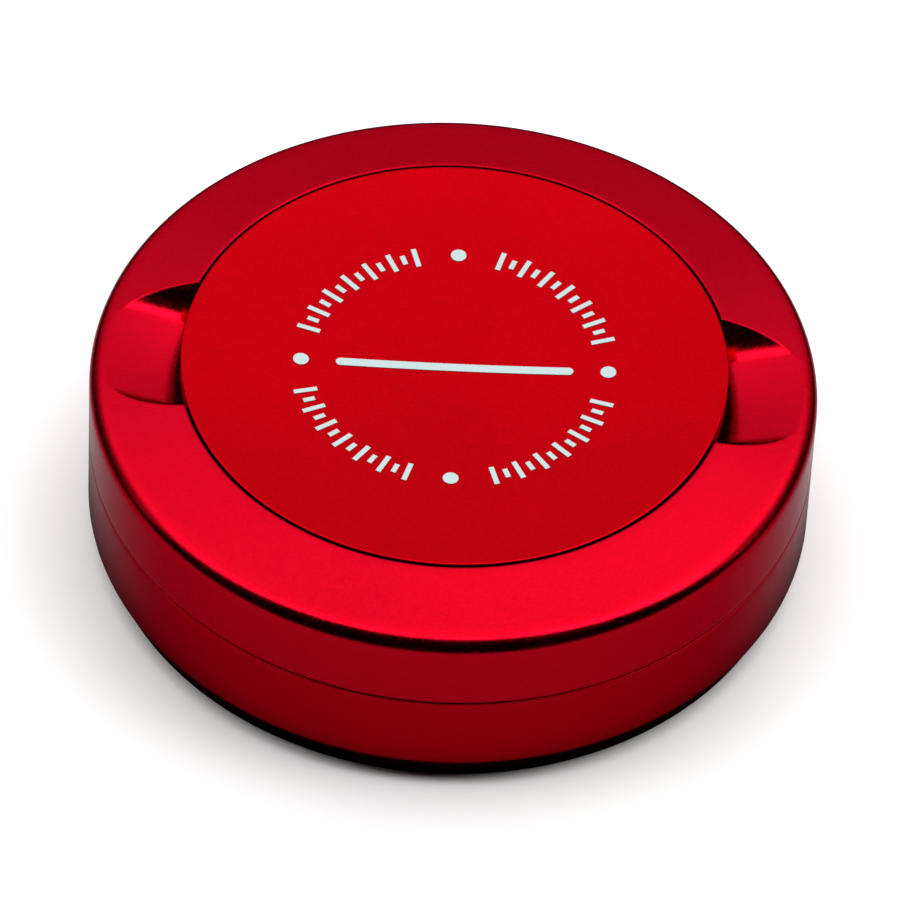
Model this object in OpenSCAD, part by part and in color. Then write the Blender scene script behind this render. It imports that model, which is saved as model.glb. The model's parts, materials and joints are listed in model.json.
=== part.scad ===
// Pocket can with a used-pouch compartment in its lid.
// Turned base, push-on lid, and a lift-out cover disc that two finger scoops expose.
// +Z up, origin at the middle of the underside.

/* [Can] */
// Outer diameter of the base and the lid
can_d = 70; // [66:0.5:76]
// Height from the underside to the edge of the cover disc
can_h = 21.6; // [21:0.1:24]
// Height of the seam between the base and the lid
seam_z = 11.6; // [11:0.1:12]
// Width of the seam
seam_gap = 0.16; // [0.1:0.02:0.3]

/* [Base] */
// Thickness of the floor of the base
base_floor_t = 1.6; // [1.2:0.1:2.4]
// Wall thickness of the neck that the lid pushes onto
neck_t = 1.5; // [1.2:0.1:2]
// Height of the neck above the seam
neck_h = 4; // [3.4:0.1:4.2]
// Height of the long chamfer round the foot
foot_chamfer_h = 3.3; // [1:0.1:4]
// How far the long chamfer leads in
foot_chamfer_w = 1.4; // [0.5:0.1:2]

/* [Lid] */
// Outer radius of the neck and the bore of the lid, before clearance
fit_r = 32.9; // [32:0.1:33]
// Fall of the lid's sloping shoulder, in degrees
shoulder_angle = 12.6; // [8:0.2:16]
// Radius of the rounded outer edge of the lid
rim_r = 1.67; // [1:0.01:2.4]
// Height of the underside of the lid, inside the skirt
ceiling_z = 15.9; // [15.8:0.1:16.2]

/* [Compartment] */
// Bore of the compartment
bin_d = 46.8; // [44:0.2:47]
// Height of the compartment's floor
bin_floor_z = 13.4; // [13:0.1:14]
// Thickness of the compartment's floor
bin_floor_t = 1.2; // [1:0.1:1.6]
// Wall thickness of the compartment
bin_t = 1.3; // [1.2:0.1:1.4]

/* [Cover] */
// Diameter of the cover disc
cover_d = 52.6; // [52:0.1:53]
// Gap round the cover disc
cover_gap = 0.26; // [0.2:0.02:0.4]
// Thickness of the disc at its edge
cover_t = 2; // [1.6:0.1:2.4]
// Depth of the shallow dish in the top of the disc
dish = 0.9; // [0.4:0.1:1.2]
// Length of the plug under the disc
plug_h = 3; // [2.6:0.1:3.4]
// Diameter of the hollow in the underside of the plug
plug_hollow_d = 40.8; // [36:0.2:42]

/* [Finger scoops] */
// Width of a scoop
scoop_w = 16.4; // [14:0.1:17]
// Radius of the scoop's floor across its width
scoop_floor_r = 33; // [20:1:60]
// Radius between the floor and the walls of the scoop
scoop_corner_r = 4; // [2:0.1:4.4]
// Slope of the scoop's floor, in degrees
scoop_angle = 16; // [12:1:20]
// Where the floor runs out through the rim: distance from the axis
scoop_out_r = 33.4; // [33.2:0.05:33.5]
// Where the floor runs out through the rim: height
scoop_out_z = 20; // [19.9:0.02:20.06]

/* [Seals] */
// Section of both sealing rings
seal_d = 1.15; // [1:0.05:1.3]
// Height of the lid's sealing ring
lid_seal_z = 13.8; // [13.2:0.1:14.2]
// Height of the cover's sealing ring
cover_seal_z = 18.1; // [17.8:0.1:18.4]

/* [Printed marks] */
// Radius of the ring of marks
mark_r = 14.75; // [10:0.25:20]
// Diameter of the four round marks
dot_d = 1.5; // [1:0.05:2.5]
// Length of the middle bar over its round ends
bar_l = 22.8; // [10:0.1:26]
// Width of the middle bar
bar_w = 0.95; // [0.4:0.05:2]
// Length of the long tick marks
tick_l = 2.3; // [1:0.1:4]
// Width of a tick mark
tick_w = 0.5; // [0.3:0.05:1]
// Tick marks between two round marks
tick_count = 13; // [5:2:17]
// Angle from one tick mark to the next
tick_step = 4.8; // [3:0.1:5]
// How far the marks are turned from the line of the scoops
mark_turn = 2.1; // [-45:0.1:45]
// Thickness of the print
ink_t = 0.05; // [0.02:0.01:0.1]

/* [Hidden] */
// Round things are true curves; this only sets their preview
$fn = 96;
run_clear = 0.07;   // radial clearance of the push fits
seal_clear = 0.04;  // clearance between a seal and the wall it wipes
groove_clear = 0.03;
break_w = 0.15;     // small chamfers that break the edges
lead_w = 0.4;       // lead-in chamfers of the fits
fillet_r = 1.2;     // inside corners of the two wells
can_r = can_d / 2;
cover_r = cover_d / 2;
recess_r = cover_r + cover_gap;
bin_r = bin_d / 2;
bin_out_r = bin_r + bin_t;
plug_r = bin_r - run_clear;
skirt_r = fit_r + run_clear;
neck_in_r = fit_r - neck_t;
neck_top_z = seam_z + neck_h;
lid_bottom_z = seam_z + seam_gap;
seat_z = can_h - cover_t;
cover_low_z = seat_z + 0.02;
plug_low_z = seat_z - plug_h;
// The shoulder's line leaves the rim's arc at its tangent point
rim_c_r = can_r - rim_r;
rim_t_r = rim_c_r + rim_r * sin(shoulder_angle);
rim_t_z = can_h - (rim_t_r - recess_r) * tan(shoulder_angle);
rim_c_z = rim_t_z - rim_r * cos(shoulder_angle);
// The dish is part of a sphere that meets the disc's flat edge
edge_flat_w = 0.3;
dish_edge_r = cover_r - break_w - edge_flat_w;
dish_r = (dish_edge_r * dish_edge_r + dish * dish) / (2 * dish);
dish_c_z = can_h - dish + dish_r;
hollow_top_z = can_h - dish - 1.6;
lid_seal_r = fit_r + seal_clear + seal_d / 2;
cover_seal_r = bin_r - seal_clear - seal_d / 2;
groove_h = seal_d + 0.3;

// A ring of rectangular section, as a profile to cut from another profile
module groove_profile(r_from, r_to, z) {
    translate([r_from, z - groove_h / 2])
        square([r_to - r_from, groove_h]);
}

// The rounded lower corner of a well, as seen on the right of its axis
module well_profile(r, z_low, z_high) {
    union() {
        translate([0, z_low])
            square([r - fillet_r, z_high - z_low]);
        translate([0, z_low + fillet_r])
            square([r, z_high - z_low - fillet_r]);
        translate([r - fillet_r, z_low + fillet_r])
            circle(r = fillet_r);
    }
}

module seal_ring(r, z) {
    color([0.06, 0.06, 0.07])
        rotate_extrude()
            translate([r, z])
                circle(d = seal_d);
}

module base_cup() {
    color([0.62, 0.02, 0.07])
        rotate_extrude()
            difference() {
                polygon([
                    [0, 0],
                    [can_r - foot_chamfer_w - break_w, 0],
                    [can_r - foot_chamfer_w, break_w],
                    [can_r, foot_chamfer_h],
                    [can_r, seam_z - break_w],
                    [can_r - break_w, seam_z],
                    [fit_r, seam_z],
                    [fit_r, neck_top_z - lead_w],
                    [fit_r - lead_w, neck_top_z],
                    [0, neck_top_z],
                ]);
                well_profile(neck_in_r, base_floor_t, neck_top_z + 1);
            }
}

module lid_outline() {
    union() {
        polygon([
            [0, lid_bottom_z],
            [can_r - break_w, lid_bottom_z],
            [can_r, lid_bottom_z + break_w],
            [can_r, rim_c_z],
            [rim_c_r, rim_c_z],
            [rim_t_r, rim_t_z],
            [recess_r, can_h],
            [0, can_h],
        ]);
        translate([rim_c_r, rim_c_z])
            circle(r = rim_r);
    }
}

// The space under the lid: the skirt's bore round the outside of the compartment
module underside_profile() {
    difference() {
        polygon([
            [0, seam_z - 1],
            [skirt_r + lead_w, seam_z - 1],
            [skirt_r + lead_w, lid_bottom_z],
            [skirt_r, lid_bottom_z + lead_w],
            [skirt_r, ceiling_z],
            [0, ceiling_z],
        ]);
        translate([0, bin_floor_z - bin_floor_t])
            square([bin_out_r, can_h]);
    }
}

// Section of a scoop across its length, with the middle of its floor at the origin
module scoop_profile() {
    half = scoop_w / 2;
    corner_y = half - scoop_corner_r;
    corner_z = scoop_floor_r - sqrt(pow(scoop_floor_r - scoop_corner_r, 2) - pow(corner_y, 2));
    tangent_y = corner_y * scoop_floor_r / (scoop_floor_r - scoop_corner_r);
    top_z = 8;
    union() {
        intersection() {
            translate([0, scoop_floor_r])
                circle(r = scoop_floor_r, $fn = 360);
            translate([-tangent_y, -1])
                square([2 * tangent_y, top_z + 1]);
        }
        for (side = [-1, 1])
            translate([side * corner_y, corner_z])
                circle(r = scoop_corner_r);
        translate([-half, corner_z])
            square([scoop_w, top_z - corner_z]);
    }
}

module scoop_cut() {
    difference() {
        translate([scoop_out_r, 0, scoop_out_z])
            rotate([0, -scoop_angle, 0])
                translate([-14, 0, 0])
                    rotate([90, 0, 90])
                        linear_extrude(height = 18)
                            scoop_profile();
        translate([0, 0, ceiling_z])
            cylinder(r = bin_out_r, h = can_h);
    }
}

// The recess for the cover, with its broken edge and the lead into the compartment
module recess_profile() {
    polygon([
        [0, seat_z - lead_w - 1],
        [bin_r - 1, seat_z - lead_w - 1],
        [bin_r + lead_w, seat_z],
        [recess_r, seat_z],
        [recess_r, can_h - break_w],
        [recess_r + 1, can_h - break_w + 1],
        [0, can_h + 1],
    ]);
}

module lid_shell() {
    color([0.86, 0.02, 0.1])
        difference() {
            rotate_extrude()
                difference() {
                    lid_outline();
                    underside_profile();
                    groove_profile(fit_r - 1, lid_seal_r + seal_d / 2 + groove_clear, lid_seal_z);
                    well_profile(bin_r, bin_floor_z, can_h + 1);
                    recess_profile();
                }
            for (side = [0, 180])
                rotate([0, 0, side])
                    scoop_cut();
        }
}

module cover_disc() {
    color([0.78, 0.02, 0.06])
        difference() {
            rotate_extrude()
                difference() {
                    polygon([
                        [0, plug_low_z],
                        [plug_r - lead_w, plug_low_z],
                        [plug_r, plug_low_z + lead_w],
                        [plug_r, cover_low_z],
                        [cover_r - break_w, cover_low_z],
                        [cover_r, cover_low_z + break_w],
                        [cover_r, can_h - break_w],
                        [cover_r - break_w, can_h],
                        [0, can_h],
                    ]);
                    groove_profile(cover_seal_r - seal_d / 2 - groove_clear, bin_r + 1, cover_seal_z);
                    polygon([
                        [0, plug_low_z - 1],
                        [plug_hollow_d / 2, plug_low_z - 1],
                        [plug_hollow_d / 2, hollow_top_z - fillet_r],
                        [plug_hollow_d / 2 - fillet_r, hollow_top_z],
                        [0, hollow_top_z],
                    ]);
                }
            translate([0, 0, dish_c_z])
                sphere(r = dish_r, $fn = 720);
        }
}

// The print lies on the dish: what is given as flat shapes keeps only that layer
module ink() {
    color([0.93, 0.95, 0.94])
        rotate([0, 0, mark_turn])
            intersection() {
                translate([0, 0, can_h - dish - 1])
                    linear_extrude(height = 2)
                        children();
                difference() {
                    translate([0, 0, dish_c_z])
                        sphere(r = dish_r, $fn = 720);
                    translate([0, 0, dish_c_z])
                        sphere(r = dish_r - ink_t, $fn = 720);
                }
            }
}

module print_dots() {
    ink()
        for (quarter = [0:3])
            rotate(90 * quarter)
                translate([mark_r, 0])
                    circle(d = dot_d);
}

module print_bar() {
    reach = (bar_l - bar_w) / 2;
    ink()
        union() {
            square([2 * reach, bar_w], center = true);
            for (side = [-1, 1])
                translate([side * reach, 0])
                    circle(d = bar_w);
        }
}

module print_ticks() {
    ink()
        for (quarter = [0:3])
            for (i = [0:tick_count - 1]) {
                long = i % 2 == 0;
                turn = 90 * quarter + 45 + (i - (tick_count - 1) / 2) * tick_step;
                rotate(turn)
                    translate([mark_r, 0])
                        square([long ? tick_l : tick_l / 2, tick_w], center = true);
            }
}

base_cup();
seal_ring(lid_seal_r, lid_seal_z);  // lid_seal
lid_shell();
seal_ring(cover_seal_r, cover_seal_z);  // cover_seal
cover_disc();
print_dots();
print_bar();
print_ticks();
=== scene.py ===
"""Looks of a turned, red anodised pocket can with a lift-out cover disc in its lid.

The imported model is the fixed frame. Every turned part is made again here as a finely
divided solid with rounded edges, at the places and sizes that the frame gives, and the
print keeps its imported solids. Lengths are metres; values with mm in the name are
millimetres.
"""

import json
import logging
import math
from dataclasses import dataclass, field
from enum import Enum
from typing import Callable, Iterable, Sequence

import bmesh
import bpy
from mathutils import Matrix, Vector

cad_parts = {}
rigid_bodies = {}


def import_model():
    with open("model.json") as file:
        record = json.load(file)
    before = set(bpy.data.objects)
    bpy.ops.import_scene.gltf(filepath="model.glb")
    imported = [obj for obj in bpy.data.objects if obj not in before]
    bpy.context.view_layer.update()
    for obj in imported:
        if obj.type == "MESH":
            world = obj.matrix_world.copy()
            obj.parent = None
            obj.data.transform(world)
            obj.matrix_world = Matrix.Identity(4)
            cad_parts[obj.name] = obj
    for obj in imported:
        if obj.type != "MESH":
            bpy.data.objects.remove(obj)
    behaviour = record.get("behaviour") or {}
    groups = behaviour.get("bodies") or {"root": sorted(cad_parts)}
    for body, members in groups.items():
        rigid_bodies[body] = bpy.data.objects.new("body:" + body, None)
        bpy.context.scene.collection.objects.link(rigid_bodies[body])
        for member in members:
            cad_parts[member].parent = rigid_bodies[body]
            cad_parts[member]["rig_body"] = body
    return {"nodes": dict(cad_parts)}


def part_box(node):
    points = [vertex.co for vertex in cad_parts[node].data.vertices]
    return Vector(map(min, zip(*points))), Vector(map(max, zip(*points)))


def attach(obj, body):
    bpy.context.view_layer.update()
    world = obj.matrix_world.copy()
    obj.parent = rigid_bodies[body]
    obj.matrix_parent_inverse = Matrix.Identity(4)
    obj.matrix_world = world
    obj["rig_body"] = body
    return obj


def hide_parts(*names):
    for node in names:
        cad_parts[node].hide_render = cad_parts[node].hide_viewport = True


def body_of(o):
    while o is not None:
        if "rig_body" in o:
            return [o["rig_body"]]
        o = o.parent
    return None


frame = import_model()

LOG = logging.getLogger("pocket_can")
MM = 0.001
SEGMENTS = 384
ARC_STEP = math.radians(12.0)
LONGEST_RUN = 1.0 * MM
SHARP_ANGLE = math.radians(34.0)

# The most of a side that one rounding may take, and the fewest pieces of its arc
ROUNDING_ROOM = 0.49
FEWEST_ARC_STEPS = 3
AXIS_RADIUS = 1e-7

# Roundings of turned edges and corners, from a groove's lip to the corner of a cup's floor
GROOVE_LIP = 0.08 * MM
FINE_EDGE = 0.1 * MM
BROKEN_EDGE = 0.15 * MM
SOFT_EDGE = 0.2 * MM
ROOT = 0.3 * MM
FLOOR_CORNER = 1.2 * MM

# How far past a wall or a floor the middle of a face may lie and still count as on it
CLOSE = 0.1 * MM

Colour = tuple[float, float, float]
Point = tuple[float, float]


class Body(Enum):
    """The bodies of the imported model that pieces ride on."""

    BASE = "base"
    LID_RING = "lid_ring"
    LID = "lid"
    COVER_RING = "cover_ring"
    COVER = "cover"


class Slot(Enum):
    """The record's material slots."""

    BASE = "anodised_base"
    LID = "anodised_lid"
    COVER = "anodised_cover"
    SEAL = "seal_rubber"
    PRINT = "white_print"


# ---------------------------------------------------------------- turned solids


@dataclass(frozen=True)
class Corner:
    """A corner of a turned outline: radius and height of the corner, and its rounding."""

    r: float
    z: float
    rounding: float = 0.0

    def rounded(self, before: "Corner", after: "Corner") -> list[Point]:
        """Gives the points that take the place of the corner.

        Args:
            before: the outline's corner before this one.
            after: the outline's corner after this one.

        Returns:
            The corner itself, or the points of the arc that rounds it.
        """
        here = Vector((self.r, self.z))
        towards_before = Vector((before.r, before.z)) - here
        towards_after = Vector((after.r, after.z)) - here
        if self.rounding <= 0.0:
            return [(here.x, here.y)]
        half_angle = towards_before.angle(towards_after) / 2
        reach = self.rounding / math.tan(half_angle)
        room = ROUNDING_ROOM * min(towards_before.length, towards_after.length)
        reach = min(reach, room)
        radius = reach * math.tan(half_angle)
        start = here + towards_before.normalized() * reach
        end = here + towards_after.normalized() * reach
        middle = here + (start + end - 2 * here).normalized() * (radius / math.sin(half_angle))
        sweep = (start - middle).angle(end - middle)
        steps = max(FEWEST_ARC_STEPS, math.ceil(sweep / ARC_STEP))
        turn = sweep / steps
        if (start - middle).cross(end - middle) < 0:
            turn = -turn
        points = []
        for i in range(steps + 1):
            spoke = (start - middle).copy()
            spoke.rotate(Matrix.Rotation(turn * i, 2))
            points.append((middle.x + spoke.x, middle.y + spoke.y))
        return points


def divided(points: Sequence[Point]) -> list[Point]:
    """Adds points on the long straight runs of a closed outline.

    Args:
        points: the outline's points in order.

    Returns:
        The same points, with more between those that lie far apart.
    """
    result: list[Point] = []
    for here, there in zip(points, [*points[1:], points[0]]):
        result.append(here)
        pieces = math.ceil(math.dist(here, there) / LONGEST_RUN)
        for i in range(1, pieces):
            share = i / pieces
            result.append((here[0] + (there[0] - here[0]) * share, here[1] + (there[1] - here[1]) * share))
    return result


def outline_points(corners: Sequence[Corner]) -> list[Point]:
    """Rounds the corners of a closed outline and divides its long runs.

    Args:
        corners: the outline's corners in order.

    Returns:
        The outline's points, with each rounded corner as an arc.
    """
    points: list[Point] = []
    for i, corner in enumerate(corners):
        after = corners[(i + 1) % len(corners)]
        points.extend(corner.rounded(corners[i - 1], after))
    return divided(points)


def new_object(name: str, shape: bmesh.types.BMesh) -> bpy.types.Object:
    """Makes an object of a finished bmesh, and frees the bmesh.

    Args:
        name: the object's name.
        shape: its geometry in the row frame.

    Returns:
        The new object, linked to the scene.
    """
    mesh = bpy.data.meshes.new(name)
    shape.to_mesh(mesh)
    shape.free()
    made = bpy.data.objects.new(name, mesh)
    bpy.context.scene.collection.objects.link(made)
    return made


def shade_by_angle(made: bpy.types.Object, limit: float = SHARP_ANGLE) -> None:
    """Shades a mesh smooth, apart from edges that turn by more than the limit.

    Args:
        made: the piece.
        limit: the largest turn across an edge that stays smooth, radians.
    """
    shape = bmesh.new()
    shape.from_mesh(made.data)
    for face in shape.faces:
        face.smooth = True
    for edge in shape.edges:
        edge.smooth = not (edge.is_manifold and edge.calc_face_angle(0.0) > limit)
    shape.to_mesh(made.data)
    shape.free()


def turned(name: str, points: Sequence[Point], segments: int = SEGMENTS) -> bpy.types.Object:
    """Sweeps a closed outline round the Z axis.

    Args:
        name: the object's name.
        points: the outline as radius and height, metres.
        segments: number of divisions round the axis.

    Returns:
        The turned solid as an object.
    """
    shape = bmesh.new()
    rings = []
    for r, z in points:
        if r < AXIS_RADIUS:
            rings.append([shape.verts.new((0.0, 0.0, z))])
            continue
        ring = []
        for i in range(segments):
            angle = 2 * math.pi * i / segments
            ring.append(shape.verts.new((r * math.cos(angle), r * math.sin(angle), z)))
        rings.append(ring)
    for lower, upper in zip(rings, rings[1:] + rings[:1]):
        if len(lower) == 1 and len(upper) == 1:
            continue
        for i in range(segments):
            j = (i + 1) % segments
            corners = [lower[i % len(lower)], lower[j % len(lower)]]
            corners += [upper[j % len(upper)], upper[i % len(upper)]]
            shape.faces.new(list(dict.fromkeys(corners)))
    bmesh.ops.recalc_face_normals(shape, faces=shape.faces)
    return new_object(name, shape)


# ---------------------------------------------------------------- finishes


def socket(tree: bpy.types.NodeTree, name: str, way: str, kind: str, value: object = None) -> None:
    """Adds a named socket to a node group.

    Args:
        tree: the node group.
        name: the socket's name.
        way: INPUT or OUTPUT.
        kind: the socket's type.
        value: the default of an input.
    """
    made = tree.interface.new_socket(name=name, in_out=way, socket_type=kind)
    if value is not None:
        made.default_value = value


@dataclass
class Wiring:
    """Short ways to add and link nodes in one tree."""

    tree: bpy.types.NodeTree

    def add(self, kind: str, **settings: object) -> bpy.types.Node:
        """Adds a node and sets its properties.

        Args:
            kind: the node's type.
            settings: its properties by name.

        Returns:
            The new node.
        """
        node = self.tree.nodes.new(kind)
        for name, value in settings.items():
            setattr(node, name, value)
        return node

    def put(self, node: bpy.types.Node, **values: object) -> bpy.types.Node:
        """Sets a node's inputs to values, or links them.

        Args:
            node: the node.
            values: values or sockets by the input's name, with underscores for spaces.

        Returns:
            The same node.
        """
        for name, value in values.items():
            entry = node.inputs[name.replace("_", " ")]
            if isinstance(value, bpy.types.NodeSocket):
                self.tree.links.new(value, entry)
            else:
                entry.default_value = value
        return node

    def math(self, operation: str, *values: object) -> bpy.types.NodeSocket:
        """Adds a Math node.

        Args:
            operation: what it does.
            values: its inputs in order, as values or sockets.

        Returns:
            Its output.
        """
        node = self.add("ShaderNodeMath", operation=operation)
        for entry, value in zip(node.inputs, values):
            if isinstance(value, bpy.types.NodeSocket):
                self.tree.links.new(value, entry)
            else:
                entry.default_value = value
        return node.outputs[0]

    def noise(self, place: bpy.types.NodeSocket, scale: float, detail: float = 2.0) -> bpy.types.NodeSocket:
        """Adds a noise texture.

        Args:
            place: where on the piece.
            scale: repeats per metre.
            detail: number of finer layers.

        Returns:
            The noise's value.
        """
        node = self.add("ShaderNodeTexNoise")
        self.put(node, Vector=place, Scale=scale, Detail=detail)
        return node.outputs["Fac"]

    def stretch(
        self, value: bpy.types.NodeSocket, low: float, high: float, to_low: float, to_high: float
    ) -> bpy.types.NodeSocket:
        """Maps a value from one range to another, and holds it there.

        Args:
            value: the value.
            low: start of its range.
            high: end of its range.
            to_low: what the start becomes.
            to_high: what the end becomes.

        Returns:
            The mapped value.
        """
        node = self.add("ShaderNodeMapRange")
        self.put(node, Value=value, From_Min=low, From_Max=high, To_Min=to_low, To_Max=to_high)
        return node.outputs[0]


class Effect(Enum):
    """The node groups that more than one finish uses."""

    BLAST_GRAIN = "blast_grain"
    TURNING_MARKS = "turning_marks"
    WORN_AND_HIGHLIT_EDGES = "worn_edges"


# Repeats per metre, and shares in the mixed grain, of the blasted surface's three noises
FINE_GRAIN, FINE_SHARE = 3200.0, 0.5
PATCHES, PATCH_SHARE = 900.0, 0.2
CLOUDS, CLOUD_SHARE = 60.0, 0.3
DIMPLE_SHARE = 0.6
DIMPLE_SMOOTHNESS = 0.6
NOISE_MIDDLE = 0.5

# The lathe's rings: how much the even wave counts, and the scale of what breaks it up
RING_SHARE = 0.3
RING_NOISE = 2500.0

# Edge wear and painted edge highlight: how wide it looks, from which turn of the normal, and how handling
# breaks it up
WEAR_AND_HIGHLIGHT_WIDTH = 0.12 * MM
WEAR_AND_HIGHLIGHT_TURN = (0.01, 0.12)
WEAR_AND_HIGHLIGHT_NOISE = 700.0
WEAR_AND_HIGHLIGHT_BREAK = (0.35, 0.75)


def group_tree(effect: Effect) -> bpy.types.NodeTree:
    """Starts an empty shader node group for an effect."""
    return bpy.data.node_groups.new(effect.value, "ShaderNodeTree")


def blast_grain() -> bpy.types.NodeTree:
    """Makes the grain that bead blasting leaves: fine dimples and a faint mottle.

    Returns:
        A group with inputs Grains per metre and Mottle, and outputs Height, Tone and Blur.
    """
    tree = group_tree(Effect.BLAST_GRAIN)
    socket(tree, "Grains per metre", "INPUT", "NodeSocketFloat", 5000.0)
    socket(tree, "Mottle", "INPUT", "NodeSocketFloat", 0.05)
    for name in ("Height", "Tone", "Blur"):
        socket(tree, name, "OUTPUT", "NodeSocketFloat")
    wires = Wiring(tree)
    entry = wires.add("NodeGroupInput")
    leave = wires.add("NodeGroupOutput")
    place = wires.add("ShaderNodeTexCoord").outputs["Object"]
    dimples = wires.add("ShaderNodeTexVoronoi", feature="SMOOTH_F1")
    wires.put(dimples, Vector=place, Scale=entry.outputs["Grains per metre"], Smoothness=DIMPLE_SMOOTHNESS)
    fine = wires.noise(place, FINE_GRAIN, 3.0)
    height = wires.math("MULTIPLY_ADD", dimples.outputs["Distance"], DIMPLE_SHARE, fine)
    patches = wires.noise(place, PATCHES, 3.0)
    clouds = wires.noise(place, CLOUDS, 2.0)
    patchy = wires.math("MULTIPLY", patches, PATCH_SHARE)
    coarse = wires.math("MULTIPLY_ADD", clouds, CLOUD_SHARE, patchy)
    mixed = wires.math("MULTIPLY_ADD", fine, FINE_SHARE, coarse)
    swing = wires.math("SUBTRACT", mixed, NOISE_MIDDLE)
    tone = wires.math("MULTIPLY_ADD", swing, entry.outputs["Mottle"], 1.0)
    blur = wires.math("MULTIPLY", swing, entry.outputs["Mottle"])
    wires.put(leave, Height=height, Tone=tone, Blur=blur)
    return tree


def turning_marks() -> bpy.types.NodeTree:
    """Makes the fine rings that a lathe tool leaves round the axis.

    Returns:
        A group with input Rings per metre and output Height.
    """
    tree = group_tree(Effect.TURNING_MARKS)
    socket(tree, "Rings per metre", "INPUT", "NodeSocketFloat", 6000.0)
    socket(tree, "Height", "OUTPUT", "NodeSocketFloat")
    wires = Wiring(tree)
    entry = wires.add("NodeGroupInput")
    leave = wires.add("NodeGroupOutput")
    place = wires.add("ShaderNodeTexCoord").outputs["Object"]
    split = wires.add("ShaderNodeSeparateXYZ")
    wires.put(split, Vector=place)
    x, y, z = split.outputs
    square = wires.math("ADD", wires.math("MULTIPLY", x, x), wires.math("MULTIPLY", y, y))
    out = wires.math("ADD", wires.math("SQRT", square), z)
    rings = wires.math("MULTIPLY", out, entry.outputs["Rings per metre"])
    wave = wires.math("SINE", wires.math("MULTIPLY", rings, 2 * math.pi))
    line = wires.add("ShaderNodeCombineXYZ")
    wires.put(line, X=out)
    uneven = wires.noise(line.outputs[0], RING_NOISE, 3.0)
    wires.put(leave, Height=wires.math("MULTIPLY_ADD", wave, RING_SHARE, uneven))
    return tree


def worn_edges() -> bpy.types.NodeTree:
    """Makes a mask of the edges for edge wear and a painted edge highlight, broken up as handling breaks it
    up.

    Returns:
        A group with input Reach and output Mask.
    """
    tree = group_tree(Effect.WORN_AND_HIGHLIT_EDGES)
    socket(tree, "Reach", "INPUT", "NodeSocketFloat", 0.5)
    socket(tree, "Mask", "OUTPUT", "NodeSocketFloat")
    wires = Wiring(tree)
    entry = wires.add("NodeGroupInput")
    leave = wires.add("NodeGroupOutput")
    place = wires.add("ShaderNodeTexCoord").outputs["Object"]
    round_off = wires.add("ShaderNodeBevel", samples=4)
    wires.put(round_off, Radius=WEAR_AND_HIGHLIGHT_WIDTH)
    compare = wires.add("ShaderNodeVectorMath", operation="DOT_PRODUCT")
    wires.tree.links.new(round_off.outputs["Normal"], compare.inputs[0])
    wires.tree.links.new(wires.add("ShaderNodeNewGeometry").outputs["Normal"], compare.inputs[1])
    turn = wires.math("SUBTRACT", 1.0, compare.outputs["Value"])
    convex = wires.stretch(turn, *WEAR_AND_HIGHLIGHT_TURN, 0.0, 1.0)
    broken = wires.stretch(wires.noise(place, WEAR_AND_HIGHLIGHT_NOISE, 4.0), *WEAR_AND_HIGHLIGHT_BREAK, 0.0, 1.0)
    mask = wires.math("MULTIPLY", wires.math("MULTIPLY", convex, broken), entry.outputs["Reach"])
    wires.put(leave, Mask=mask)
    return tree


@dataclass
class Effects:
    """The shared node groups, each made once."""

    trees: dict[Effect, bpy.types.NodeTree] = field(default_factory=dict)

    def build(self) -> "Effects":
        """Makes every group.

        Returns:
            The same object, ready for use.
        """
        self.trees[Effect.BLAST_GRAIN] = blast_grain()
        self.trees[Effect.TURNING_MARKS] = turning_marks()
        self.trees[Effect.WORN_AND_HIGHLIT_EDGES] = worn_edges()
        return self

    def place(self, wires: Wiring, effect: Effect, **values: object) -> bpy.types.Node:
        """Puts a group into a material's tree.

        Args:
            wires: the material's wiring.
            effect: which group.
            values: its inputs, with underscores for spaces.

        Returns:
            The group's node.
        """
        node = wires.add("ShaderNodeGroup", node_tree=self.trees[effect])
        return wires.put(node, **values)


def new_material(name: str) -> tuple[bpy.types.Material, Wiring, bpy.types.Node]:
    """Starts a material.

    Args:
        name: the material's name.

    Returns:
        The material, its wiring and its Principled BSDF.
    """
    material = bpy.data.materials.new(name)
    material.use_nodes = True
    wires = Wiring(material.node_tree)
    return material, wires, material.node_tree.nodes["Principled BSDF"]


def tinted(wires: Wiring, colour: Colour, tone: bpy.types.NodeSocket) -> bpy.types.NodeSocket:
    """Multiplies a colour by a tone that changes over the surface.

    Args:
        wires: the material's wiring.
        colour: the colour.
        tone: the factor, near 1.

    Returns:
        The changing colour.
    """
    mix = wires.add("ShaderNodeVectorMath", operation="SCALE")
    mix.inputs[0].default_value = colour
    wires.tree.links.new(tone, mix.inputs["Scale"])
    return mix.outputs[0]


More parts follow.
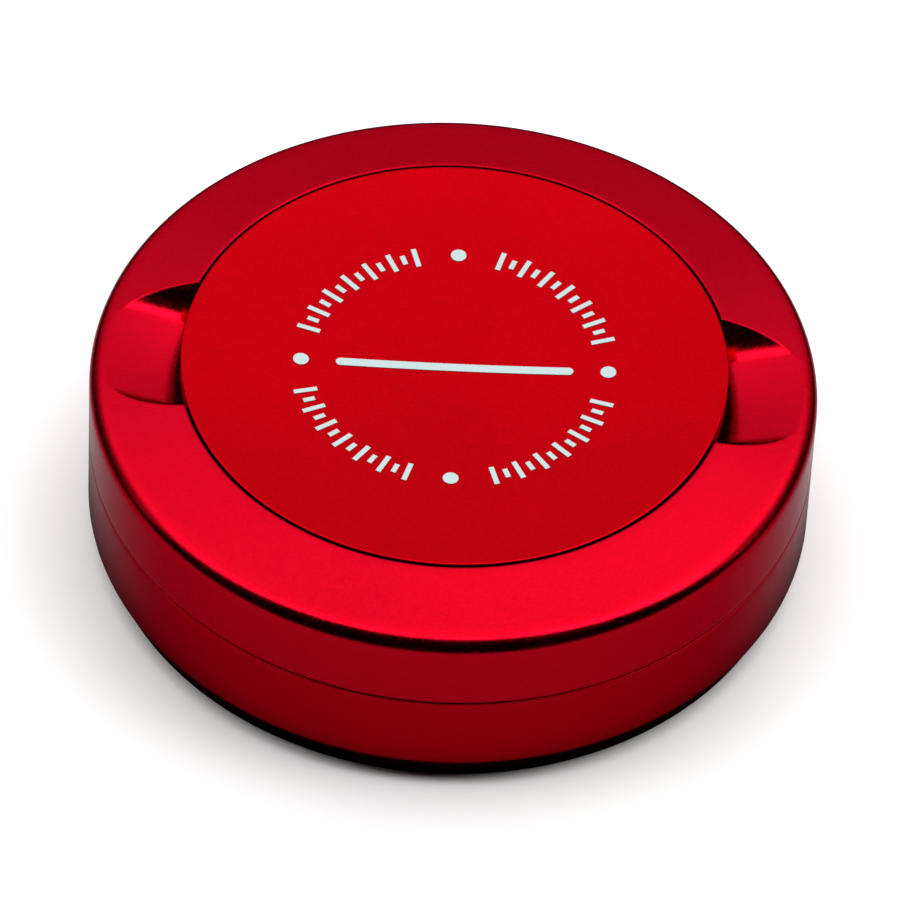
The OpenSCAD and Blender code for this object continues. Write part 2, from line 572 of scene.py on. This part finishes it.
@dataclass(frozen=True)
class Anodised:
    """Bead-blasted aluminium dyed red under a clear oxide layer."""

    name: str
    colour: Colour = (0.345, 0.001, 0.008)
    # Lighter red at the edges: partly edge wear, partly a painted edge highlight
    wear_and_highlight_colour: Colour = (0.62, 0.02, 0.04)
    roughness: float = 0.2
    grains: float = 3000.0
    grain_depth_mm: float = 0.006
    mottle: float = 0.5
    bump: float = 0.8
    wear_and_highlight: float = 0.35
    glance_tint: Colour = (0.6, 0.5, 0.52)
    edge_mm: float = 0.0
    rings: bool = False
    rings_per_metre: float = 5000.0
    ring_depth_mm: float = 0.004
    ring_bump: float = 0.6

    def build(self, effects: Effects) -> bpy.types.Material:
        """Makes the material.

        Args:
            effects: the shared node groups.

        Returns:
            The finished material.
        """
        material, wires, shader = new_material(self.name)
        grain = effects.place(
            wires, Effect.BLAST_GRAIN, Grains_per_metre=self.grains, Mottle=self.mottle
        )
        worn_and_highlit = effects.place(wires, Effect.WORN_AND_HIGHLIT_EDGES, Reach=self.wear_and_highlight)
        # The edge mask mixes in the lighter red: partly edge wear, partly a painted edge highlight along
        # the edges
        mix = wires.add("ShaderNodeMix", data_type="RGBA")
        mix.inputs["B"].default_value = (*self.wear_and_highlight_colour, 1.0)
        wires.tree.links.new(worn_and_highlit.outputs["Mask"], mix.inputs["Factor"])
        wires.tree.links.new(tinted(wires, self.colour, grain.outputs["Tone"]), mix.inputs["A"])
        wires.put(shader, Base_Color=mix.outputs["Result"])
        wires.put(shader, Roughness=wires.math("ADD", grain.outputs["Blur"], self.roughness))
        shader.inputs["Metallic"].default_value = 1.0
        shader.inputs["Specular Tint"].default_value = (*self.glance_tint, 1.0)
        bump = wires.add("ShaderNodeBump")
        depth = self.grain_depth_mm * MM
        wires.put(bump, Strength=self.bump, Distance=depth, Height=grain.outputs["Height"])
        if self.edge_mm:
            edge = wires.add("ShaderNodeBevel", samples=6)
            wires.put(edge, Radius=self.edge_mm * MM)
            wires.put(bump, Normal=edge.outputs["Normal"])
        wires.put(shader, Normal=bump.outputs["Normal"])
        if self.rings:
            marks = effects.place(
                wires, Effect.TURNING_MARKS, Rings_per_metre=self.rings_per_metre
            )
            second = wires.add("ShaderNodeBump")
            depth = self.ring_depth_mm * MM
            wires.put(second, Strength=self.ring_bump, Distance=depth)
            wires.put(second, Height=marks.outputs["Height"], Normal=bump.outputs["Normal"])
            wires.put(shader, Normal=second.outputs["Normal"])
        return material


@dataclass(frozen=True)
class Rubber:
    """Smooth black sealing rubber."""

    name: str
    colour: Colour = (0.018, 0.018, 0.02)
    roughness: float = 0.42
    grains: float = 9000.0
    mottle: float = 0.3
    grain_depth_mm: float = 0.002
    bump: float = 0.3

    def build(self, effects: Effects) -> bpy.types.Material:
        """Makes the material.

        Args:
            effects: the shared node groups.

        Returns:
            The finished material.
        """
        material, wires, shader = new_material(self.name)
        grain = effects.place(
            wires, Effect.BLAST_GRAIN, Grains_per_metre=self.grains, Mottle=self.mottle
        )
        wires.put(shader, Base_Color=tinted(wires, self.colour, grain.outputs["Tone"]))
        wires.put(shader, Roughness=wires.math("ADD", grain.outputs["Blur"], self.roughness))
        shader.inputs["Metallic"].default_value = 0.0
        bump = wires.add("ShaderNodeBump")
        depth = self.grain_depth_mm * MM
        wires.put(bump, Strength=self.bump, Distance=depth, Height=grain.outputs["Height"])
        wires.put(shader, Normal=bump.outputs["Normal"])
        return material


@dataclass(frozen=True)
class Ink:
    """Thin, slightly uneven white print."""

    name: str
    colour: Colour = (0.34, 0.43, 0.43)
    roughness: float = 0.55
    grains: float = 5200.0
    mottle: float = 0.12
    grain_depth_mm: float = 0.003
    bump: float = 0.4

    def build(self, effects: Effects) -> bpy.types.Material:
        """Makes the material.

        Args:
            effects: the shared node groups.

        Returns:
            The finished material.
        """
        material, wires, shader = new_material(self.name)
        grain = effects.place(
            wires, Effect.BLAST_GRAIN, Grains_per_metre=self.grains, Mottle=self.mottle
        )
        wires.put(shader, Base_Color=tinted(wires, self.colour, grain.outputs["Tone"]))
        wires.put(shader, Roughness=wires.math("ADD", grain.outputs["Blur"], self.roughness))
        bump = wires.add("ShaderNodeBump")
        depth = self.grain_depth_mm * MM
        wires.put(bump, Strength=self.bump, Distance=depth, Height=grain.outputs["Height"])
        wires.put(shader, Normal=bump.outputs["Normal"])
        return material


# ---------------------------------------------------------------- the can's parts


def dress(
    made: bpy.types.Object,
    materials: Sequence[bpy.types.Material],
    choose: Callable[[bpy.types.MeshPolygon], int] | None = None,
) -> None:
    """Gives a piece its materials.

    Args:
        made: the piece.
        materials: its materials, the first on every face that nothing else is chosen for.
        choose: gives a face's material number.
    """
    made.data.materials.clear()
    for material in materials:
        made.data.materials.append(material)
    if choose:
        for face in made.data.polygons:
            face.material_index = choose(face)


@dataclass
class Base:
    """The turned cup below the seam, with the neck that the lid pushes onto."""

    foot_high: float = 3.3 * MM
    foot_in: float = 1.4 * MM
    floor_thick: float = 1.6 * MM
    neck_thick: float = 1.5 * MM
    neck_radius: float = 32.9 * MM
    lead: float = 0.4 * MM
    fine: float = 0.08 * MM
    seam: float = 11.6 * MM
    foot_edge: float = 0.35 * MM
    chamfer_edge: float = 0.6 * MM

    def build(self, outside: bpy.types.Material, inside: bpy.types.Material) -> bpy.types.Object:
        """Makes the base.

        Args:
            outside: the finish of the outside.
            inside: the finish of the well.

        Returns:
            The base, riding on its body.
        """
        low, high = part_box("base_cup")
        radius, top = high.x, high.z
        well = self.neck_radius - self.neck_thick
        corners = [
            Corner(0.0, low.z),
            Corner(radius - self.foot_in, low.z, self.foot_edge),
            Corner(radius, self.foot_high, self.chamfer_edge),
            Corner(radius, self.seam, self.fine),
            Corner(self.neck_radius, self.seam, FINE_EDGE),
            Corner(self.neck_radius, top - self.lead, BROKEN_EDGE),
            Corner(self.neck_radius - self.lead, top, BROKEN_EDGE),
            Corner(well, top, SOFT_EDGE),
            Corner(well, self.floor_thick, FLOOR_CORNER),
            Corner(0.0, self.floor_thick),
        ]
        made = turned("base_shell", outline_points(corners))
        shade_by_angle(made)

        def choose(face: bpy.types.MeshPolygon) -> int:
            """Gives 1 for a face inside the well."""
            far = math.hypot(face.center.x, face.center.y)
            in_well = far < well + CLOSE and face.center.z > self.floor_thick - CLOSE
            return int(in_well)

        dress(made, [outside, inside], choose)
        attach(made, Body.BASE.value)
        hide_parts("base_cup")
        return made


@dataclass
class Scoop:
    """One finger scoop: a trough that slopes down towards the disc."""

    width: float = 16.4 * MM
    floor_radius: float = 33.0 * MM
    corner_radius: float = 4.0 * MM
    slope: float = math.radians(16.0)
    out_radius: float = 33.4 * MM
    out_height: float = 20.0 * MM
    wall_top: float = 8.0 * MM
    inner_reach: float = 14.0 * MM
    outer_reach: float = 4.0 * MM
    post_below: float = 10.0 * MM
    post_above: float = 20.0 * MM
    floor_steps: int = 40
    corner_steps: int = 20

    def section(self) -> list[Point]:
        """Gives the trough's section across its length, with its floor at the origin.

        Returns:
            The section's points, anticlockwise.
        """
        half = self.width / 2
        corner_y = half - self.corner_radius
        inner = self.floor_radius - self.corner_radius
        corner_z = self.floor_radius - math.sqrt(inner**2 - corner_y**2)
        tangent = math.asin(corner_y / inner)
        right: list[Point] = []
        for i in range(self.floor_steps // 2):
            angle = tangent * i / (self.floor_steps // 2)
            rise = self.floor_radius * (1 - math.cos(angle))
            right.append((self.floor_radius * math.sin(angle), rise))
        for i in range(self.corner_steps + 1):
            angle = tangent + (math.pi / 2 - tangent) * i / self.corner_steps
            out = corner_y + self.corner_radius * math.sin(angle)
            right.append((out, corner_z - self.corner_radius * math.cos(angle)))
        right.append((half, self.wall_top))
        return right + [(-y, z) for y, z in reversed(right[1:])]

    def cutter(self, name: str, bearing: float, keep_inside: float) -> bpy.types.Object:
        """Makes the solid that cuts the scoop out of the lid.

        Args:
            name: the cutter's name.
            bearing: direction of the scoop, radians from +X.
            keep_inside: radius within which nothing is cut.

        Returns:
            The cutter as an object.
        """
        shape = bmesh.new()
        slope = Matrix.Rotation(-self.slope, 4, "Y")
        place = Matrix.Translation((self.out_radius, 0.0, self.out_height)) @ slope
        place = Matrix.Rotation(bearing, 4, "Z") @ place
        ends = []
        for along in (-self.inner_reach, self.outer_reach):
            ends.append([shape.verts.new(place @ Vector((along, y, z))) for y, z in self.section()])
        count = len(ends[0])
        for i in range(count):
            j = (i + 1) % count
            shape.faces.new((ends[0][i], ends[0][j], ends[1][j], ends[1][i]))
        shape.faces.new(ends[0])
        shape.faces.new(ends[1])
        bmesh.ops.recalc_face_normals(shape, faces=shape.faces)
        made = new_object(name, shape)
        low, high = self.out_height - self.post_below, self.out_height + self.post_above
        post = turned("post", [(0.0, low), (keep_inside, low), (keep_inside, high), (0.0, high)])
        cut(made, post)
        return made


def cut(made: bpy.types.Object, tool: bpy.types.Object) -> None:
    """Takes the tool's solid out of a piece, and removes the tool.

    Args:
        made: the piece that is cut.
        tool: the solid that is taken out.
    """
    change = made.modifiers.new("cut", "BOOLEAN")
    change.operation = "DIFFERENCE"
    change.solver = "EXACT"
    change.object = tool
    bake_modifiers(made)
    mesh = tool.data
    bpy.data.objects.remove(tool)
    bpy.data.meshes.remove(mesh)


def bake_modifiers(made: bpy.types.Object) -> None:
    """Replaces a piece's mesh by what its modifiers make of it.

    Args:
        made: the piece.
    """
    graph = bpy.context.evaluated_depsgraph_get()
    mesh = bpy.data.meshes.new_from_object(made.evaluated_get(graph))
    made.modifiers.clear()
    made.data = mesh


@dataclass
class Lid:
    """The turned lid above the seam, with the recess, the compartment and two scoops."""

    scoop: Scoop = field(default_factory=Scoop)
    shoulder: float = math.radians(12.6)
    rim: float = 1.67 * MM
    recess_radius: float = 26.56 * MM
    seat: float = 19.6 * MM
    bin_radius: float = 23.4 * MM
    bin_wall: float = 1.3 * MM
    bin_floor: float = 13.4 * MM
    bin_floor_thick: float = 1.2 * MM
    ceiling: float = 15.9 * MM
    skirt_radius: float = 32.97 * MM
    groove_deep: float = 34.12 * MM
    groove_middle: float = 13.8 * MM
    groove_high: float = 1.45 * MM
    lead: float = 0.4 * MM
    fine: float = 0.12 * MM

    def outline(self, radius: float, low: float, top: float) -> list[Point]:
        """Gives the lid's outline.

        Args:
            radius: outer radius.
            low: height of the lower edge.
            top: height of the recess's edge.

        Returns:
            The outline's points, from the compartment's floor outwards.
        """
        tangent_r = radius - self.rim * (1 - math.sin(self.shoulder))
        tangent_z = top - (tangent_r - self.recess_radius) * math.tan(self.shoulder)
        corner_z = tangent_z - (radius - tangent_r) * math.tan(self.shoulder)
        bin_out = self.bin_radius + self.bin_wall
        under = self.bin_floor - self.bin_floor_thick
        groove_low = self.groove_middle - self.groove_high / 2
        groove_top = self.groove_middle + self.groove_high / 2
        return outline_points([
            Corner(0.0, self.bin_floor),
            Corner(self.bin_radius, self.bin_floor, FLOOR_CORNER),
            Corner(self.bin_radius, self.seat - self.lead, BROKEN_EDGE),
            Corner(self.bin_radius + self.lead, self.seat, FINE_EDGE),
            Corner(self.recess_radius, self.seat, BROKEN_EDGE),
            Corner(self.recess_radius, top, self.fine),
            Corner(radius, corner_z, self.rim),
            Corner(radius, low, self.fine),
            Corner(self.skirt_radius + self.lead, low, FINE_EDGE),
            Corner(self.skirt_radius, low + self.lead, FINE_EDGE),
            Corner(self.skirt_radius, groove_low, GROOVE_LIP),
            Corner(self.groove_deep, groove_low, FINE_EDGE),
            Corner(self.groove_deep, groove_top, FINE_EDGE),
            Corner(self.skirt_radius, groove_top, GROOVE_LIP),
            Corner(self.skirt_radius, self.ceiling, ROOT),
            Corner(bin_out, self.ceiling, ROOT),
            Corner(bin_out, under, ROOT),
            Corner(0.0, under),
        ])

    def build(self, outside: bpy.types.Material, inside: bpy.types.Material) -> bpy.types.Object:
        """Makes the lid.

        Args:
            outside: the finish of the outside.
            inside: the finish of the compartment and the underside.

        Returns:
            The lid, riding on its body.
        """
        low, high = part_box("lid_shell")
        points = self.outline(high.x, low.z, high.z)
        made = turned("lid_body", points)
        keep = self.bin_radius + self.bin_wall
        for name, bearing in (("right", 0.0), ("left", math.pi)):
            cut(made, self.scoop.cutter(name, bearing, keep))
        shade_by_angle(made)

        def choose(face: bpy.types.MeshPolygon) -> int:
            """Gives 1 for a face in the compartment or under the lid."""
            far = math.hypot(face.center.x, face.center.y)
            in_bin = far < self.bin_radius + CLOSE and face.center.z < self.seat
            under = far < self.skirt_radius + CLOSE and face.center.z < self.ceiling + ROOT
            return int(in_bin or under)

        dress(made, [outside, inside], choose)
        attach(made, Body.LID.value)
        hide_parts("lid_shell")
        return made


@dataclass
class Cover:
    """The lift-out disc: a dished top, and a hollow plug with a groove for its seal."""

    dish: float = 0.9 * MM
    edge_flat: float = 0.27 * MM
    edge_rest: float = 0.02 * MM
    plug_radius: float = 23.33 * MM
    flange_low: float = 19.62 * MM
    groove_deep: float = 22.18 * MM
    groove_middle: float = 18.1 * MM
    groove_high: float = 1.45 * MM
    hollow_radius: float = 20.4 * MM
    hollow_top: float = 19.1 * MM
    lead: float = 0.4 * MM
    fine: float = 0.12 * MM
    dish_steps: int = 36

    def build(self, outside: bpy.types.Material, inside: bpy.types.Material) -> bpy.types.Object:
        """Makes the cover disc.

        Args:
            outside: the finish of the top and the edge.
            inside: the finish of the underside.

        Returns:
            The disc, riding on its body.
        """
        low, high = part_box("cover_disc")
        radius, top, bottom = high.x, high.z, low.z
        groove_low = self.groove_middle - self.groove_high / 2
        groove_top = self.groove_middle + self.groove_high / 2
        dish_edge = radius - self.edge_flat
        points = outline_points([
            Corner(0.0, self.hollow_top),
            Corner(self.hollow_radius, self.hollow_top, FLOOR_CORNER),
            Corner(self.hollow_radius, bottom, SOFT_EDGE),
            Corner(self.plug_radius - self.lead, bottom, BROKEN_EDGE),
            Corner(self.plug_radius, bottom + self.lead, BROKEN_EDGE),
            Corner(self.plug_radius, groove_low, GROOVE_LIP),
            Corner(self.groove_deep, groove_low, FINE_EDGE),
            Corner(self.groove_deep, groove_top, FINE_EDGE),
            Corner(self.plug_radius, groove_top, GROOVE_LIP),
            Corner(self.plug_radius, self.flange_low, FINE_EDGE),
            Corner(radius, self.flange_low, BROKEN_EDGE),
            Corner(radius, top, self.edge_flat - self.edge_rest),
            Corner(dish_edge, top),
        ])
        dish_radius = (dish_edge**2 + self.dish**2) / (2 * self.dish)
        centre = top - self.dish + dish_radius
        for i in range(1, self.dish_steps + 1):
            r = dish_edge * math.cos(math.pi / 2 * i / self.dish_steps)
            points.append((r, centre - math.sqrt(dish_radius**2 - r * r)))
        made = turned("cover_body", points)
        shade_by_angle(made)

        def choose(face: bpy.types.MeshPolygon) -> int:
            """Gives 1 for a face of the plug."""
            return int(face.center.z < self.flange_low + CLOSE)

        dress(made, [outside, inside], choose)
        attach(made, Body.COVER.value)
        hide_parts("cover_disc")
        return made


@dataclass
class Seal:
    """A sealing ring with the faint parting line that its mould leaves."""

    node: str
    body: Body
    parting: float = 0.02 * MM
    steps: int = 36

    def build(self, rubber: bpy.types.Material) -> bpy.types.Object:
        """Makes the ring.

        Args:
            rubber: its finish.

        Returns:
            The ring, riding on its body.
        """
        low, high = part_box(self.node)
        section = (high.z - low.z) / 2
        middle_r, middle_z = high.x - section, (high.z + low.z) / 2
        points = []
        for i in range(self.steps):
            angle = 2 * math.pi * i / self.steps
            on_line = i % (self.steps // 2) == self.steps // 4
            reach = section - (0.0 if on_line else self.parting)
            points.append((middle_r + reach * math.cos(angle), middle_z + reach * math.sin(angle)))
        made = turned(self.node + "_ring", points)
        shade_by_angle(made)
        dress(made, [rubber])
        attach(made, self.body.value)
        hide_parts(self.node)
        return made


@dataclass
class Print:
    """The white marks on the disc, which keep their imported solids."""

    nodes: tuple[str, ...] = ("print_dots", "print_bar", "print_ticks")

    def build(self, ink: bpy.types.Material) -> list[bpy.types.Object]:
        """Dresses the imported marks.

        Args:
            ink: their finish.

        Returns:
            The marks' objects.
        """
        marks = [frame["nodes"][name] for name in self.nodes]
        for mark in marks:
            dress(mark, [ink])
        return marks


# ---------------------------------------------------------------- the studio


@dataclass
class Studio:
    """A pale floor, soft light from above and behind, and a long lens."""

    distance: float = 0.8316
    elevation: float = math.radians(46.92)
    bearing: float = math.radians(1.4)
    roll: float = math.radians(3.02)
    aim: float = 10.0 * MM
    lens: float = 343.6
    shift: Point = (-0.0006, -0.0068)
    floor_tone: float = 0.78
    # Floor tones that only mirrored rays see: a painted pool of light with a painted contact shadow at the
    # can's foot
    pool_tone: float = 0.53
    contact_shadow_span: Point = (34.8 * MM, 39.0 * MM)
    pool_end: Point = (70.0 * MM, 100.0 * MM)
    box_half: float = 0.55
    box_fade: float = 0.9
    side_level: float = 0.1
    floor_size: float = 6.0
    floor_roughness: float = 0.9
    painted_shade_tone: float = 0.02
    seen_level: float = 0.9
    sensor: float = 36.0
    clip: Point = (0.05, 20.0)
    swell_slope: float = 1.4
    swell_start: float = 0.31
    swell_end: Point = (math.radians(125.0), math.radians(150.0))
    levels: tuple[Point, ...] = (
        (0.0, 0.003), (70.0, 0.003), (77.0, 4.6), (86.0, 4.4), (104.0, 2.5), (124.0, 2.0),
        (133.0, 1.64), (142.0, 1.38), (157.0, 1.08), (170.0, 0.9), (180.0, 0.9),
    )

    def camera(self) -> bpy.types.Object:
        """Makes the camera and makes it the scene's.

        Returns:
            The camera.
        """
        data = bpy.data.cameras.new("camera")
        data.lens, data.sensor_width = self.lens, self.sensor
        data.shift_x, data.shift_y = self.shift
        data.clip_start, data.clip_end = self.clip
        made = bpy.data.objects.new("camera", data)
        bpy.context.scene.collection.objects.link(made)
        flat = math.cos(self.elevation)
        back = Vector((
            flat * math.sin(self.bearing),
            -flat * math.cos(self.bearing),
            math.sin(self.elevation),
        ))
        turn = back.to_track_quat("Z", "Y").to_matrix() @ Matrix.Rotation(self.roll, 3, "Z")
        place = Vector((0, 0, self.aim)) + back * self.distance
        made.matrix_world = Matrix.Translation(place) @ turn.to_4x4()
        bpy.context.scene.camera = made
        return made

    def floor(self) -> bpy.types.Object:
        """Makes the pale floor, which mirrored rays see as a dimmer, smaller pool of painted light with a
        painted contact shadow round the can's foot.

        Returns:
            The floor.
        """
        shape = bmesh.new()
        half = self.floor_size / 2
        corners = [(-half, -half, 0), (half, -half, 0), (half, half, 0), (-half, half, 0)]
        shape.faces.new([shape.verts.new(corner) for corner in corners])
        made = new_object("floor", shape)
        material, wires, shader = new_material("pale_floor")
        place = wires.add("ShaderNodeTexCoord").outputs["Object"]
        far = wires.add("ShaderNodeVectorMath", operation="LENGTH")
        wires.tree.links.new(place, far.inputs[0])
        far = far.outputs["Value"]
        # Painted contact shadow: mirrored rays see the floor nearly black at the can's foot, brightening
        # over this span
        contact_shadow_fade = wires.stretch(far, *self.contact_shadow_span, self.painted_shade_tone, 1.0)
        closing = wires.stretch(far, *self.pool_end, 1.0, self.painted_shade_tone)
        pool = wires.math("MULTIPLY", wires.math("MULTIPLY", contact_shadow_fade, closing), self.pool_tone)
        # Only mirrored rays see this painted pool and shadow; camera rays and diffuse light see the even
        # floor tone
        mirrored = wires.add("ShaderNodeLightPath").outputs["Is Glossy Ray"]
        change = wires.math("MULTIPLY", mirrored, wires.math("SUBTRACT", pool, self.floor_tone))
        tone = wires.math("ADD", change, self.floor_tone)
        wires.put(shader, Base_Color=tinted(wires, (1.0, 1.0, 1.0), tone))
        shader.inputs["Roughness"].default_value = self.floor_roughness
        shader.inputs["Specular IOR Level"].default_value = 0.0
        dress(made, [material])
        return made

    def surround(self) -> None:
        """Makes the soft surround: bright overhead, falling off behind, dark in front."""
        world = bpy.data.worlds.new("surround")
        bpy.context.scene.world = world
        world.use_nodes = True
        tree = world.node_tree
        wires = Wiring(tree)
        shader = tree.nodes["Background"]
        shader.inputs["Color"].default_value = (1.0, 1.0, 1.0, 1.0)
        way = wires.add("ShaderNodeTexCoord").outputs["Generated"]
        split = wires.add("ShaderNodeSeparateXYZ")
        wires.put(split, Vector=way)
        x, y, z = split.outputs
        angle = wires.math("ARCTAN2", z, wires.math("MULTIPLY", y, -1.0))
        beside = wires.math("ABSOLUTE", x)
        ends = wires.stretch(beside, self.box_half, self.box_fade, 1.0, self.side_level)
        swell = wires.math("MULTIPLY_ADD", x, self.swell_slope, self.swell_start)
        near = wires.stretch(angle, *self.swell_end, 1.0, 0.0)
        swell = wires.math("MULTIPLY", wires.math("MULTIPLY", swell, x), near)
        ramp = wires.add("ShaderNodeValToRGB")
        elements = ramp.color_ramp.elements
        while len(elements) < len(self.levels):
            elements.new(0.5)
        brightest = max(level for _, level in self.levels)
        for element, (degrees, level) in zip(elements, self.levels):
            element.position = degrees / 180.0
            element.color = (level / brightest,) * 3 + (1.0,)
        wires.put(ramp, Fac=wires.math("DIVIDE", angle, math.pi))
        seen = wires.add("ShaderNodeLightPath").outputs["Is Camera Ray"]
        level = wires.math("MULTIPLY", ramp.outputs["Color"], brightest)
        share = wires.math("MULTIPLY", ends, wires.math("ADD", swell, 1.0))
        level = wires.math("MULTIPLY", level, share)
        sides = wires.math("MULTIPLY", level, wires.math("SUBTRACT", 1.0, seen))
        strength = wires.math("ADD", sides, wires.math("MULTIPLY", seen, self.seen_level))
        wires.put(shader, Strength=strength)

    def build(self) -> None:
        """Makes the floor, the light and the camera."""
        self.camera()
        self.floor()
        self.surround()
        bpy.context.scene.view_settings.view_transform = "Standard"


# ---------------------------------------------------------------- the whole can


def report(pieces: Iterable[bpy.types.Object]) -> None:
    """Logs each piece with its body and its number of faces.

    Args:
        pieces: the finished pieces.
    """
    for piece in pieces:
        LOG.info("%s on %s, %d faces", piece.name, body_of(piece), len(piece.data.polygons))


def main() -> None:
    """Builds the can's parts and the studio."""
    logging.basicConfig(level=logging.INFO, format="%(name)s: %(message)s")
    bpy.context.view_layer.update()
    effects = Effects().build()
    # The base is given a darker red than the lid and the cover
    base_out = Anodised("anodised_base", colour=(0.30, 0.0002, 0.005)).build(effects)
    lid_out = Anodised("anodised_lid", edge_mm=0.3).build(effects)
    cover_out = Anodised("anodised_cover", colour=(0.34, 0.0002, 0.003)).build(effects)
    turned_in = Anodised("anodised_turned", roughness=0.24, rings=True).build(effects)
    rubber = Rubber("seal_rubber").build(effects)
    ink = Ink("white_print").build(effects)

    report([Base().build(base_out, turned_in)])
    report([Lid().build(lid_out, turned_in)])
    report([Cover().build(cover_out, turned_in)])
    report([Seal("lid_seal", Body.LID_RING).build(rubber)])
    report([Seal("cover_seal", Body.COVER_RING).build(rubber)])
    report(Print().build(ink))
    Studio().build()


if __name__ == "__main__":
    main()
